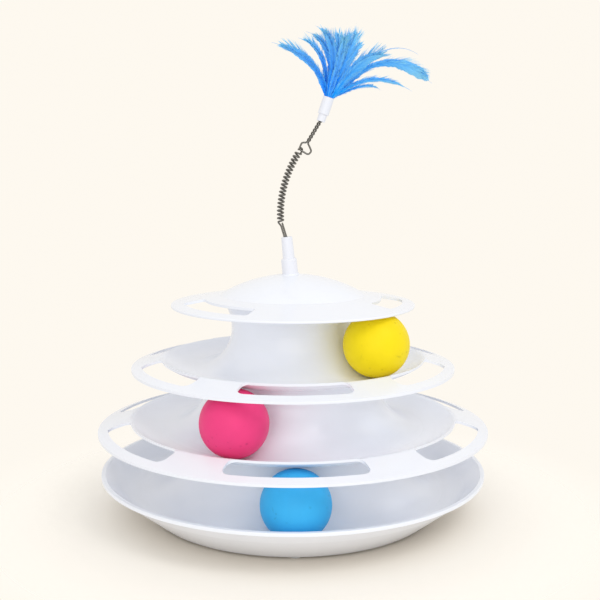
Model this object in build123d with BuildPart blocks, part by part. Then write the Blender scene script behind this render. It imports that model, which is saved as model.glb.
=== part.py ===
from build123d import *
import os
from dataclasses import dataclass
from math import acos, asin, atan2, ceil, cos, degrees, hypot, pi, radians, sin, sqrt, tan

# Tower of three round ball tracks with a feather wand on a coil spring.
# Millimetres and degrees. The origin is on the floor under the tower's axis,
# +Z is up and the front of the tower faces -Y.

# Mouldings
wall = 1.6
edge_round = 0.6
fit_clearance = 0.3
spigot_length = 8.0

# Balls and the daylight round them
ball_diameter = 40.5
ball_seat_gap = 0.25
running_gap = 0.35
blue_ball_azimuth = -89.0
pink_ball_azimuth = -113.6
yellow_ball_azimuth = -38.0

# Base tray
base_floor_z = 13.6
base_track_r = 97.0
base_bend = 25.0
base_outer_bend = 21.2
base_rim_width = 26.5
base_rim_rise = 14.0
base_lip_width = 2.6
base_lip_height = 2.3
foot_inset = 5.5
foot_width = 9.0

# Rubber pads under the foot
pad_count = 6
pad_diameter = 7.0
pad_height = 1.2

# Conical flanges of the two upper tracks
flange_slope = 17.0
dish_width = 20.0
dish_rise = 6.6
crest_round = 4.0
slot_count = 6
slot_azimuth = -89.0
slot_half_angle = 20.5
slot_corner = 5.0

# Lower track, stepped in from the base
lower_step = 13.0
lower_bend = 27.0
lower_flange_width = 21.0
lower_slot_inset = 0.5
lower_slot_width = 14.4

# Upper track, stepped in from the lower one
upper_step = 20.0
upper_bend = 24.7
upper_flange_width = 19.3
upper_slot_inset = 0.0
upper_slot_width = 13.2

# Top cap, on the flared mouth of the upper column
mouth_flare = 5.7
cap_collar_ledge = 1.5
cap_slope = 10.0
cap_flange_width = 31.3
cap_slot_inset = 10.0
cap_slot_width = 13.5
cap_slot_corner = 2.5
# Azimuth and half angle of each slot in the cap
cap_slots = ((-140.7, 28.3), (-13.5, 19.5), (100.0, 24.0))
dome_radius = 91.0
cap_collar_height = 1.5
cap_spigot_length = 4.0

# Wand socket and sleeve
wand_lean = 5.5
wand_seat_x = -1.7
seat_proud = 0.6
seat_margin = 0.6
barrel_diameter = 10.0
barrel_length = 9.7
barrel_round = 1.2
shank_diameter = 7.0
shank_length = 13.0
boss_wall = 1.6
slide_clearance = 0.2
swivel_clearance = 0.1
sleeve_pin_diameter = 4.0
sleeve_pin_length = 8.0
sleeve_base_diameter = 7.6
sleeve_top_diameter = 7.0
sleeve_length = 13.8
sleeve_round = 0.5

# Spring wire: folded tail, bent coil and end eye
wire_diameter = 1.0
strand_spacing = 1.7
tail_offset = -0.8
tail_lean = 17.0
tail_depth = 7.0
tail_free_length = 9.3
tail_end_gap = 1.0
bore_clearance = 0.2
coil_radius = 1.8
coil_half_turns = 39
coil_start_phase = -135.0
coil_bend_radius = 71.0
coil_start_lean = -3.5
coil_end_lean = 33.4
coil_start_rise = 2.2
eye_radius = 1.9
eye_rise = 1.0
eye_sweep = 190.0

# Hanger wire: lopsided end loop and twisted pair
hanger_lean = 31.2
hook_gap = 0.3
loop_width = 8.0
loop_height = 5.9
loop_shift = 1.4
loop_skew = 1.0
loop_base_share = 0.85
right_shoulder_share = 0.5
left_shoulder_share = 0.75
loop_corner = 1.6
loop_neck = 1.3
twist_radius = 0.9
twist_pitch = 4.6
twist_half_turns = 8
hanger_depth = 2.6

# Feather ferrule
ferrule_lean = 18.8
collar_diameter = 5.4
collar_length = 4.5
ferrule_diameter = 7.0
ferrule_length = 11.0
ferrule_round = 0.5
quill_bore_diameter = 5.4
quill_bore_depth = 7.0

# Feathers, one leaf to each azimuth about the ferrule's axis
quill_width = 0.7
quill_end_gap = 0.2
feather_thickness = 0.45
feather_pitch = 24.0
feather_back_share = 0.25

half_ball = ball_diameter / 2
half_wire = wire_diameter / 2

# Radii of the storeys, from the base track inwards
base_column_r = base_track_r - base_bend
base_rim_r = base_track_r + base_rim_width
foot_r = base_track_r - foot_inset
lower_track_r = base_track_r - lower_step
lower_column_r = lower_track_r - lower_bend
lower_crest_r = lower_track_r + dish_width
lower_flange_r = lower_crest_r + lower_flange_width
lower_slot_inner_r = lower_crest_r + lower_slot_inset
upper_track_r = lower_track_r - upper_step
upper_column_r = upper_track_r - upper_bend
upper_crest_r = upper_track_r + dish_width
upper_flange_r = upper_crest_r + upper_flange_width
upper_slot_inner_r = upper_crest_r + upper_slot_inset
column_mouth_r = upper_column_r + mouth_flare
dome_base_r = column_mouth_r + cap_collar_ledge
cap_flange_r = dome_base_r + cap_flange_width
cap_slot_inner_r = dome_base_r + cap_slot_inset

# How far from a section's edge its corners are looked for
corner_reach = wall / 10
# Points to each wire diameter, and how many diameters along are still the same stretch
gap_samples = 4
same_stretch = 3


@dataclass
class Track:
    """One storey: a dish with a slotted flange round it and a column inside it."""

    name: str
    flange_r: float
    crest_r: float
    floor_r: float
    floor_z: float
    column_r: float
    slot_inner_r: float
    slot_width: float
    below_column_r: float
    below_seat_z: float

    @property
    def bend_in(self):
        """Radius of the dish where it turns up into the column."""
        return self.floor_r - self.column_r

    @property
    def bend_out(self):
        """Radius of the dish where it climbs to the crest."""
        return arc_rise_radius(self.crest_r - self.floor_r, dish_rise)

    def under(self, r):
        """Height of the dish's underside at a radius, inside or outside its floor."""
        bend = self.bend_in if r < self.floor_r else self.bend_out
        return self.floor_z + bend - sqrt((bend + wall) ** 2 - (self.floor_r - r) ** 2)


def arc_rise_radius(width, rise):
    """Radius of an arc that starts level and climbs by rise over width."""
    return (width**2 + rise**2) / (2 * rise)


def on_circle(centre, radius, angle):
    """Point of a circle at an angle in degrees."""
    return (centre[0] + radius * cos(radians(angle)), centre[1] + radius * sin(radians(angle)))


def arc_between(centre, radius, start_angle, end_angle):
    """Arc about a centre from one angle to another, drawn in the current line."""
    middle = (start_angle + end_angle) / 2
    return ThreePointArc(*(on_circle(centre, radius, a) for a in (start_angle, middle, end_angle)))


def floor_above(ball_z, ball_r, floor_r, crest_r):
    """Height of the next dish's floor so that its underside clears the ball below."""
    dish_radius = arc_rise_radius(crest_r - floor_r, dish_rise)
    reach = dish_radius + wall + half_ball + running_gap
    return ball_z - dish_radius + sqrt(reach**2 - (ball_r - floor_r) ** 2)


# Heights of the stack, from the base floor up
ball_lift = ball_seat_gap + half_ball
blue_ball_z = base_floor_z + ball_lift
lower_floor_z = floor_above(blue_ball_z, base_track_r, lower_track_r, lower_crest_r)
base_seat_z = lower_floor_z - wall
pink_ball_z = lower_floor_z + ball_lift
upper_floor_z = floor_above(pink_ball_z, lower_track_r, upper_track_r, upper_crest_r)
lower_seat_z = upper_floor_z - wall
yellow_ball_z = upper_floor_z + ball_lift


def cap_under(r):
    """Height of the cap flange's underside, which clears the yellow ball."""
    clear_z = yellow_ball_z + (half_ball + running_gap) / cos(radians(cap_slope))
    return clear_z + (upper_track_r - r) * tan(radians(cap_slope))


cap_thickness = wall / cos(radians(cap_slope))
cap_seat_z = cap_under(dome_base_r) - cap_collar_height
dome_centre_z = cap_under(dome_base_r) + cap_thickness - sqrt(dome_radius**2 - dome_base_r**2)

# The upper column opens into a mouth that the cap sits on
mouth_start_z = upper_floor_z + upper_track_r - upper_column_r
mouth_height = cap_seat_z - mouth_start_z
mouth_radius = arc_rise_radius(mouth_height, column_mouth_r - upper_column_r)
mouth_centre = (upper_column_r + mouth_radius, mouth_start_z)


def mouth_inner_r(z):
    """Radius of the upper column's inner face at a height within its mouth."""
    return mouth_centre[0] - sqrt((mouth_radius + wall) ** 2 - (z - mouth_start_z) ** 2)


lower = Track(
    "lower_track", lower_flange_r, lower_crest_r, lower_track_r, lower_floor_z, lower_column_r,
    lower_slot_inner_r, lower_slot_width, base_column_r, base_seat_z,
)
upper = Track(
    "upper_track", upper_flange_r, upper_crest_r, upper_track_r, upper_floor_z, upper_column_r,
    upper_slot_inner_r, upper_slot_width, lower_column_r, lower_seat_z,
)

os.makedirs("parts", exist_ok=True)


def finish(piece, name):
    """Label a finished piece and write it under its own name."""
    piece.part.label = name
    export_step(piece.part, f"parts/{name}.step")


def curved_slot(half_angle, inner_r, width, corner):
    """Curved slot about the +X direction, with radial ends and rounded corners."""
    with BuildSketch(mode=Mode.PRIVATE) as slot:
        with BuildLine():
            inner = CenterArc((0, 0), inner_r, -half_angle, 2 * half_angle)
            outer = CenterArc((0, 0), inner_r + width, -half_angle, 2 * half_angle)
            Line(inner @ 0, outer @ 0)
            Line(inner @ 1, outer @ 1)
        make_face()
        fillet(slot.vertices(), corner)
    return slot.sketch


# Base tray: dish with a sloping wall and a lipped rim, a column in the middle and a conical foot
rim_z = base_floor_z + base_rim_rise
rim_inner_r = base_rim_r - base_lip_width
rim_centre = (base_track_r, base_floor_z + base_outer_bend)
rim_reach = (rim_inner_r - rim_centre[0], rim_z - rim_centre[1])
rim_touch = acos(base_outer_bend / hypot(*rim_reach))
rim_angle = degrees(atan2(rim_reach[1], rim_reach[0]) - rim_touch)
under_bend = base_outer_bend + wall
rim_start = on_circle(rim_centre, base_outer_bend, rim_angle)
rim_under = on_circle(rim_centre, under_bend, rim_angle)
lip_z = rim_z - base_lip_height
lip_under_r = rim_under[0] - (lip_z - rim_under[1]) * tan(radians(rim_angle))
base_bend_centre = (base_track_r, base_floor_z + base_bend)
foot_reach = (rim_centre[0] - foot_r, rim_centre[1] - pad_height)
foot_touch = asin(under_bend / hypot(*foot_reach))
foot_angle = degrees(atan2(foot_reach[1], foot_reach[0]) - foot_touch)

with BuildPart() as base_tray:
    with BuildSketch(Plane.XZ) as base_section:
        with BuildLine():
            Line((rim_inner_r, rim_z), rim_start)
            arc_between(rim_centre, base_outer_bend, rim_angle, -90)
            arc_between(base_bend_centre, base_bend, -90, -180)
            Polyline(
                on_circle(base_bend_centre, base_bend, -180),
                (base_column_r, base_seat_z),
                (base_column_r - wall, base_seat_z),
                on_circle(base_bend_centre, base_bend + wall, -180),
            )
            arc_between(base_bend_centre, base_bend + wall, -180, -90)
            arc_between(rim_centre, under_bend, -90, rim_angle)
            Polyline(
                rim_under,
                (lip_under_r, lip_z),
                (base_rim_r, lip_z),
                (base_rim_r, rim_z),
                (rim_inner_r, rim_z),
            )
        make_face()
        with BuildLine():
            Polyline(
                (foot_r, pad_height),
                on_circle(rim_centre, under_bend, foot_angle - 90),
                on_circle(rim_centre, base_outer_bend, foot_angle - 90),
                (foot_r - wall / sin(radians(foot_angle)), pad_height),
                close=True,
            )
        make_face()
        with Locations((foot_r, pad_height)):
            Rectangle(foot_width, wall, align=(Align.MAX, Align.MIN))
        lip_corners = base_section.vertices().filter_by(lambda v: v.X > base_rim_r - corner_reach)
        fillet(lip_corners, edge_round)
    revolve(axis=Axis.Z)
finish(base_tray, "base_tray")

# Rubber pads that the tower stands on, one set
with BuildPart() as floor_pads:
    with BuildSketch():
        with PolarLocations(foot_r - foot_width / 2, pad_count, start_angle=slot_azimuth):
            Circle(pad_diameter / 2)
    extrude(amount=pad_height)
finish(floor_pads, "floor_pads")

# Lower and upper track: conical slotted flange, crest, dish, column, and below
# the dish a collar and spigot that sit on the column underneath
for track in (lower, upper):
    dish_radius = track.bend_out
    dish_centre = (track.floor_r, track.floor_z + dish_radius)
    column_centre = (track.floor_r, track.floor_z + track.bend_in)
    crest = (track.crest_r, track.floor_z + dish_rise)
    crest_angle = degrees(atan2(crest[1] - dish_centre[1], crest[0] - dish_centre[0]))
    edge_z = crest[1] - (track.flange_r - track.crest_r) * tan(radians(flange_slope))
    edge_under_z = edge_z - wall / cos(radians(flange_slope))
    # The crest's underside is where the flange and dish undersides cross
    across = (crest[0] - dish_centre[0]) * sin(radians(flange_slope))
    across += (crest[1] - dish_centre[1]) * cos(radians(flange_slope)) - wall
    under_angle = degrees(asin(across / (dish_radius + wall))) - flange_slope
    crest_under = on_circle(dish_centre, dish_radius + wall, under_angle)
    # Collar and spigot fill the space between the dish and the column below
    spigot_outer_r = track.below_column_r - wall - fit_clearance
    spigot_inner_r = spigot_outer_r - wall
    spigot_low_z = track.below_seat_z - spigot_length
    flange_slot = curved_slot(slot_half_angle, track.slot_inner_r, track.slot_width, slot_corner)
    with BuildPart() as storey:
        with BuildSketch(Plane.XZ) as storey_section:
            with BuildLine():
                Line((track.flange_r, edge_z), crest)
                arc_between(dish_centre, dish_radius, crest_angle, -90)
                arc_between(column_centre, track.bend_in, -90, -180)
                if track is lower:
                    Polyline(
                        on_circle(column_centre, track.bend_in, -180),
                        (track.column_r, lower_seat_z),
                        (track.column_r - wall, lower_seat_z),
                        on_circle(column_centre, track.bend_in + wall, -180),
                    )
                else:
                    mouth_angle = 180 - degrees(asin(mouth_height / mouth_radius))
                    inner_angle = 180 - degrees(asin(mouth_height / (mouth_radius + wall)))
                    arc_between(mouth_centre, mouth_radius, 180, mouth_angle)
                    Line((column_mouth_r, cap_seat_z), (mouth_inner_r(cap_seat_z), cap_seat_z))
                    arc_between(mouth_centre, mouth_radius + wall, inner_angle, 180)
                arc_between(column_centre, track.bend_in + wall, -180, -90)
                arc_between(dish_centre, dish_radius + wall, -90, under_angle)
                Polyline(crest_under, (track.flange_r, edge_under_z), (track.flange_r, edge_z))
            make_face()
            corners = storey_section.vertices()
            fillet(corners.sort_by_distance(Vector(*crest))[0], crest_round)
            fillet(corners.sort_by_distance(Vector(*crest_under))[0], crest_round - wall)
            fillet(corners.filter_by(lambda v: v.X > track.flange_r - corner_reach), edge_round)
            with BuildLine():
                Polyline(
                    (spigot_inner_r, spigot_low_z),
                    (spigot_outer_r, spigot_low_z),
                    (spigot_outer_r, track.below_seat_z),
                    (track.below_column_r, track.below_seat_z),
                    (track.below_column_r, track.under(track.below_column_r) + wall / 2),
                    (spigot_inner_r, track.under(spigot_inner_r) + wall / 2),
                    close=True,
                )
            make_face()
        revolve(axis=Axis.Z)
        with BuildSketch(Plane.XY.offset(edge_under_z)):
            with PolarLocations(0, slot_count, start_angle=slot_azimuth):
                add(flange_slot)
        extrude(amount=crest[1] - edge_under_z + wall, mode=Mode.SUBTRACT)
    finish(storey, track.name)

# The wand's axis leans to the left out of a flat seat on the dome
wand_axis = Vector(-sin(radians(wand_lean)), 0, cos(radians(wand_lean)))
wand_side = Vector(cos(radians(wand_lean)), 0, sin(radians(wand_lean)))
wand_seat_z = dome_centre_z + sqrt(dome_radius**2 - wand_seat_x**2) + seat_proud
wand_seat = Vector(wand_seat_x, 0, wand_seat_z)
wand_plane = Plane(wand_seat, x_dir=wand_side, z_dir=wand_axis)
wand_section = Plane(wand_seat, x_dir=wand_side, z_dir=(0, -1, 0))
wand_line = Axis(wand_seat, wand_axis)
shank_bore_r = shank_diameter / 2 + slide_clearance
boss_r = shank_bore_r + boss_wall
seat_r = barrel_diameter / 2 + seat_margin

# Top cap: slotted flange, dome, collar and spigot for the column's mouth, and
# a boss under the dome for the wand
dome_centre = (0, dome_centre_z)
dome_angle = degrees(atan2(sqrt(dome_radius**2 - dome_base_r**2), dome_base_r))
dome_under_r = dome_base_r - wall * sin(radians(cap_slope))
dome_under_angle = degrees(atan2(sqrt((dome_radius - wall) ** 2 - dome_under_r**2), dome_under_r))


def dome_under(r):
    """Height of the dome's underside at a radius."""
    return dome_centre_z + sqrt((dome_radius - wall) ** 2 - r**2)


cap_edge_z = cap_under(cap_flange_r)
cap_spigot_r = mouth_inner_r(cap_seat_z) - fit_clearance
cap_spigot_low_z = cap_seat_z - cap_spigot_length
cap_spigot_low_r = mouth_inner_r(cap_spigot_low_z) - fit_clearance
cap_slot_faces = [
    (azimuth, curved_slot(half_angle, cap_slot_inner_r, cap_slot_width, cap_slot_corner))
    for azimuth, half_angle in cap_slots
]

with BuildPart() as top_cap:
    with BuildSketch(Plane.XZ) as cap_section:
        with BuildLine():
            Line(
                (cap_flange_r, cap_edge_z + cap_thickness),
                on_circle(dome_centre, dome_radius, dome_angle),
            )
            arc_between(dome_centre, dome_radius, dome_angle, 90)
            Line((0, dome_centre_z + dome_radius), (0, dome_centre_z + dome_radius - wall))
            arc_between(dome_centre, dome_radius - wall, 90, dome_under_angle)
            Polyline(
                (dome_under_r, dome_under(dome_under_r)),
                (dome_base_r, cap_under(dome_base_r)),
                (cap_flange_r, cap_edge_z),
                (cap_flange_r, cap_edge_z + cap_thickness),
            )
        make_face()
        cap_corners = cap_section.vertices().filter_by(lambda v: v.X > cap_flange_r - corner_reach)
        fillet(cap_corners, edge_round)
        with BuildLine():
            Polyline(
                (cap_spigot_low_r - wall, cap_spigot_low_z),
                (cap_spigot_low_r, cap_spigot_low_z),
                (cap_spigot_r, cap_seat_z),
                (column_mouth_r, cap_seat_z),
                (column_mouth_r, dome_under(column_mouth_r) + wall / 2),
                (cap_spigot_r - wall, dome_under(cap_spigot_r - wall) + wall / 2),
                (cap_spigot_r - wall, cap_seat_z),
                close=True,
            )
        make_face()
    revolve(axis=Axis.Z)
    with BuildSketch(Plane.XY.offset(cap_edge_z)):
        for azimuth, slot in cap_slot_faces:
            with PolarLocations(0, 1, start_angle=azimuth):
                add(slot)
    extrude(amount=cap_under(cap_slot_inner_r) + cap_thickness - cap_edge_z, mode=Mode.SUBTRACT)
    with BuildSketch(wand_plane):
        Circle(seat_r)
    extrude(amount=-wall)
    with BuildSketch(wand_plane):
        Circle(boss_r)
    extrude(amount=-shank_length)
    with BuildSketch(wand_plane):
        Circle(shank_bore_r)
    extrude(amount=-shank_length, mode=Mode.SUBTRACT)
finish(top_cap, "top_cap")

# Balls, each in its own track
for name, azimuth, track_r, ball_z in (
    ("blue_ball", blue_ball_azimuth, base_track_r, blue_ball_z),
    ("pink_ball", pink_ball_azimuth, lower_track_r, pink_ball_z),
    ("yellow_ball", yellow_ball_azimuth, upper_track_r, yellow_ball_z),
):
    ball_place = (track_r * cos(radians(azimuth)), track_r * sin(radians(azimuth)), ball_z)
    with BuildPart() as ball:
        with BuildSketch(Plane(ball_place, x_dir=(1, 0, 0), z_dir=(0, -1, 0))):
            with BuildLine():
                CenterArc((0, 0), half_ball, -90, 180)
                Line((0, half_ball), (0, -half_ball))
            make_face()
        revolve(axis=Axis(ball_place, (0, 0, 1)))
    finish(ball, name)

# Wand socket: round-shouldered barrel on a shank that plugs into the cap
pin_bore_r = sleeve_pin_diameter / 2 + swivel_clearance
pin_bore_depth = sleeve_pin_length + fit_clearance
with BuildPart() as wand_socket:
    with BuildSketch(wand_section) as socket_section:
        with BuildLine():
            Polyline(
                (0, -shank_length),
                (shank_diameter / 2, -shank_length),
                (shank_diameter / 2, 0),
                (barrel_diameter / 2, 0),
                (barrel_diameter / 2, barrel_length),
                (pin_bore_r, barrel_length),
                (pin_bore_r, barrel_length - pin_bore_depth),
                (0, barrel_length - pin_bore_depth),
                close=True,
            )
        make_face()
        shoulder = socket_section.vertices().sort_by_distance(
            Vector(barrel_diameter / 2, barrel_length)
        )
        fillet(shoulder[0], barrel_round)
    revolve(axis=wand_line)
finish(wand_socket, "wand_socket")

# Wand sleeve: tapered stem on a swivel pin, with a slanted bore for the wire
sleeve_top = wand_seat + wand_axis * (barrel_length + sleeve_length)
tail_axis = Vector(-sin(radians(tail_lean)), 0, cos(radians(tail_lean)))
tail_side = Vector(cos(radians(tail_lean)), 0, sin(radians(tail_lean)))
tail_exit = sleeve_top + wand_side * tail_offset
tail_bore_r = (strand_spacing + wire_diameter) / 2 + bore_clearance
with BuildPart() as wand_sleeve:
    with BuildSketch(wand_section) as sleeve_section:
        with BuildLine():
            Polyline(
                (0, barrel_length - sleeve_pin_length),
                (sleeve_pin_diameter / 2, barrel_length - sleeve_pin_length),
                (sleeve_pin_diameter / 2, barrel_length),
                (sleeve_base_diameter / 2, barrel_length),
                (sleeve_top_diameter / 2, barrel_length + sleeve_length),
                (0, barrel_length + sleeve_length),
                close=True,
            )
        make_face()
        rim = sleeve_section.vertices().sort_by_distance(
            Vector(sleeve_top_diameter / 2, barrel_length + sleeve_length)
        )
        fillet(rim[0], sleeve_round)
    revolve(axis=wand_line)
    with BuildSketch(Plane(tail_exit + tail_axis * wire_diameter, x_dir=tail_side, z_dir=tail_axis)):
        Circle(tail_bore_r)
    extrude(amount=-wire_diameter - tail_depth, mode=Mode.SUBTRACT)
finish(wand_sleeve, "wand_sleeve")


def biarc(start, start_way, end, end_way):
    """Two tangent arcs that leave one point and reach another along given ways."""
    start_way, end_way = start_way.normalized(), end_way.normalized()
    across = end - start
    both = start_way + end_way
    bend = 2 * (1 - start_way.dot(end_way))
    reach = (sqrt(across.dot(both) ** 2 + bend * across.dot(across)) - across.dot(both)) / bend
    near = start + start_way * reach
    far = end - end_way * reach
    middle = (near + far) / 2
    TangentArc(start, middle, tangent=start_way)
    TangentArc(middle, end, tangent=far - near)


def least_gap(path, gauge):
    """Least daylight of a round wire to itself, measured on points along its path."""
    samples = ceil(path.length / gauge * gap_samples)
    points = [path.position_at(i / samples) for i in range(samples + 1)]
    apart = ceil(same_stretch * gauge / (path.length / samples))
    return min(
        (points[i] - points[j]).length
        for i in range(0, samples + 1)
        for j in range(i + apart, samples + 1)
    ) - gauge


def report_wire(name, path, solid):
    """Print a wire's length, its least gap to itself and its volume against its section."""
    volume = path.length * pi * half_wire**2
    print(f"{name}: length {path.length:.1f} mm, least gap {least_gap(path, wire_diameter):.2f} mm, "
          f"volume {solid.volume:.2f} of {volume:.2f} mm3")


# The coil's axis is an arc from the tail's end, and the wire winds round it
y_way = Vector(0, 1, 0)
coil_start = tail_exit + tail_axis * (tail_free_length + tail_end_gap)
coil_arc = radians(coil_end_lean - coil_start_lean)
coil_turns = coil_half_turns / 2
coil_pitch = coil_bend_radius * coil_arc / coil_turns
bend_way = Vector(cos(radians(coil_start_lean)), 0, -sin(radians(coil_start_lean)))
bend_centre = coil_start + bend_way * coil_bend_radius


def coil_place(turn):
    """Point on the coil and the wire's way there, a number of turns from its start."""
    lean = radians(coil_start_lean) + turn * coil_pitch / coil_bend_radius
    phase = radians(coil_start_phase) + 2 * pi * turn
    out = Vector(cos(lean), 0, -sin(lean))
    up = Vector(sin(lean), 0, cos(lean))
    spoke = out * cos(phase) + y_way * sin(phase)
    point = bend_centre - out * coil_bend_radius + spoke * coil_radius
    around = (y_way * cos(phase) - out * sin(phase)) * 2 * pi * coil_radius
    return point, around + up * coil_pitch * (1 - coil_radius * cos(phase) / coil_bend_radius)


coil_end_up = Vector(sin(radians(coil_end_lean)), 0, cos(radians(coil_end_lean)))
coil_end_out = Vector(cos(radians(coil_end_lean)), 0, -sin(radians(coil_end_lean)))
coil_end = bend_centre - coil_end_out * coil_bend_radius
eye_centre = coil_end + coil_end_up * eye_rise

# Spring wire: the tail folds back on itself inside the sleeve, then the wire
# winds up the coil by half turns and ends in an open eye that stands edge-on to the front
strand_up = tail_exit - tail_side * strand_spacing / 2
strand_down = tail_exit + tail_side * strand_spacing / 2
tail_floor = tail_depth - half_wire - bore_clearance - strand_spacing / 2
tail_top = strand_up + tail_axis * (tail_free_length - coil_start_rise)
with BuildPart() as spring_wire:
    with BuildLine() as spring_path:
        Line(strand_down + tail_axis * tail_free_length, strand_down - tail_axis * tail_floor)
        ThreePointArc(
            strand_down - tail_axis * tail_floor,
            tail_exit - tail_axis * (tail_floor + strand_spacing / 2),
            strand_up - tail_axis * tail_floor,
        )
        Line(strand_up - tail_axis * tail_floor, tail_top)
        biarc(tail_top, tail_axis, *coil_place(0))
        for half_turn in range(coil_half_turns):
            biarc(*coil_place(half_turn / 2), *coil_place(half_turn / 2 + 0.5))
        eye_start = eye_centre + y_way * eye_radius
        biarc(*coil_place(coil_turns), eye_start, coil_end_up)
        eye_middle, eye_end = (
            eye_centre + (y_way * cos(a) + coil_end_up * sin(a)) * eye_radius
            for a in (radians(eye_sweep) / 2, radians(eye_sweep))
        )
        ThreePointArc(eye_start, eye_middle, eye_end)
    with BuildSketch(Plane(spring_path.line @ 0, z_dir=spring_path.line % 0)):
        Circle(half_wire)
    sweep()
report_wire("spring_wire", spring_path.wires()[0], spring_wire.part)
finish(spring_wire, "spring_wire")

# Hanger wire: a doubled wire whose loop faces the front and hooks the spring's
# eye, and whose two strands are twisted together up to the ferrule
hanger_up = Vector(sin(radians(hanger_lean)), 0, cos(radians(hanger_lean)))
hanger_out = Vector(cos(radians(hanger_lean)), 0, -sin(radians(hanger_lean)))
loop_hook = eye_centre + hanger_up * (eye_radius - wire_diameter - hook_gap)
twist_start = loop_hook + hanger_out * loop_shift + hanger_up * loop_height
loop_middle = loop_hook + hanger_out * (loop_shift + loop_skew)
right_shoulder = loop_middle + hanger_out * loop_width / 2 + hanger_up * loop_height * right_shoulder_share
left_shoulder = loop_middle - hanger_out * loop_width / 2 + hanger_up * loop_height * left_shoulder_share
base_half = hanger_out * loop_width / 2 * loop_base_share


def strand_place(turn, side):
    """Point on one strand of the twisted pair and its upward way."""
    phase = 2 * pi * turn
    across = (hanger_out * cos(phase) + y_way * sin(phase)) * side
    around = (y_way * cos(phase) - hanger_out * sin(phase)) * side * 2 * pi * twist_radius
    point = twist_start + hanger_up * twist_pitch * turn + across * twist_radius
    return point, around + hanger_up * twist_pitch


with BuildPart() as hanger_wire:
    with BuildLine() as hanger_path:
        for half_turn in range(twist_half_turns, 0, -1):
            high, high_way = strand_place(half_turn / 2, 1)
            low, low_way = strand_place(half_turn / 2 - 0.5, 1)
            biarc(high, -high_way, low, -low_way)
        first, first_way = strand_place(0, 1)
        last, last_way = strand_place(0, -1)
        right_leg = (right_shoulder - first).normalized()
        left_leg = (last - left_shoulder).normalized()
        leg_start = first + right_leg * loop_neck
        leg_end = last - left_leg * loop_neck
        biarc(first, -first_way, leg_start, right_leg)
        FilletPolyline(
            leg_start,
            right_shoulder,
            loop_middle + base_half,
            loop_middle - base_half,
            left_shoulder,
            leg_end,
            radius=loop_corner,
        )
        biarc(leg_end, left_leg, last, last_way)
        for half_turn in range(twist_half_turns):
            biarc(*strand_place(half_turn / 2, -1), *strand_place(half_turn / 2 + 0.5, -1))
    with BuildSketch(Plane(hanger_path.line @ 0, z_dir=hanger_path.line % 0)):
        Circle(half_wire)
    sweep()
report_wire("hanger_wire", hanger_path.wires()[0], hanger_wire.part)
finish(hanger_wire, "hanger_wire")

# Feather ferrule: a collar on the twisted wire and a wider cup for the quills
twist_end = twist_start + hanger_up * twist_pitch * twist_half_turns / 2
ferrule_axis = Vector(sin(radians(ferrule_lean)), 0, cos(radians(ferrule_lean)))
ferrule_side = Vector(cos(radians(ferrule_lean)), 0, -sin(radians(ferrule_lean)))
ferrule_base = twist_end - hanger_up * hanger_depth / 2 - ferrule_axis * hanger_depth / 2
ferrule_section = Plane(ferrule_base, x_dir=ferrule_side, z_dir=(0, -1, 0))
ferrule_end = collar_length + ferrule_length
hanger_bore_r = twist_radius + half_wire + bore_clearance
with BuildPart() as feather_ferrule:
    with BuildSketch(ferrule_section) as ferrule_outline:
        with BuildLine():
            Polyline(
                (0, 0),
                (collar_diameter / 2, 0),
                (collar_diameter / 2, collar_length),
                (ferrule_diameter / 2, collar_length),
                (ferrule_diameter / 2, ferrule_end),
                (quill_bore_diameter / 2, ferrule_end),
                (quill_bore_diameter / 2, ferrule_end - quill_bore_depth),
                (0, ferrule_end - quill_bore_depth),
                close=True,
            )
        make_face()
        shoulder = ferrule_outline.vertices().sort_by_distance(
            Vector(ferrule_diameter / 2, collar_length)
        )
        fillet(shoulder[0], ferrule_round)
    revolve(axis=Axis(ferrule_base, ferrule_axis))
    with BuildSketch(Plane(twist_end + hanger_up * (half_wire + bore_clearance), z_dir=hanger_up)):
        Circle(hanger_bore_r)
    extrude(amount=-hanger_depth - collar_diameter, mode=Mode.SUBTRACT)
finish(feather_ferrule, "feather_ferrule")

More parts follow.
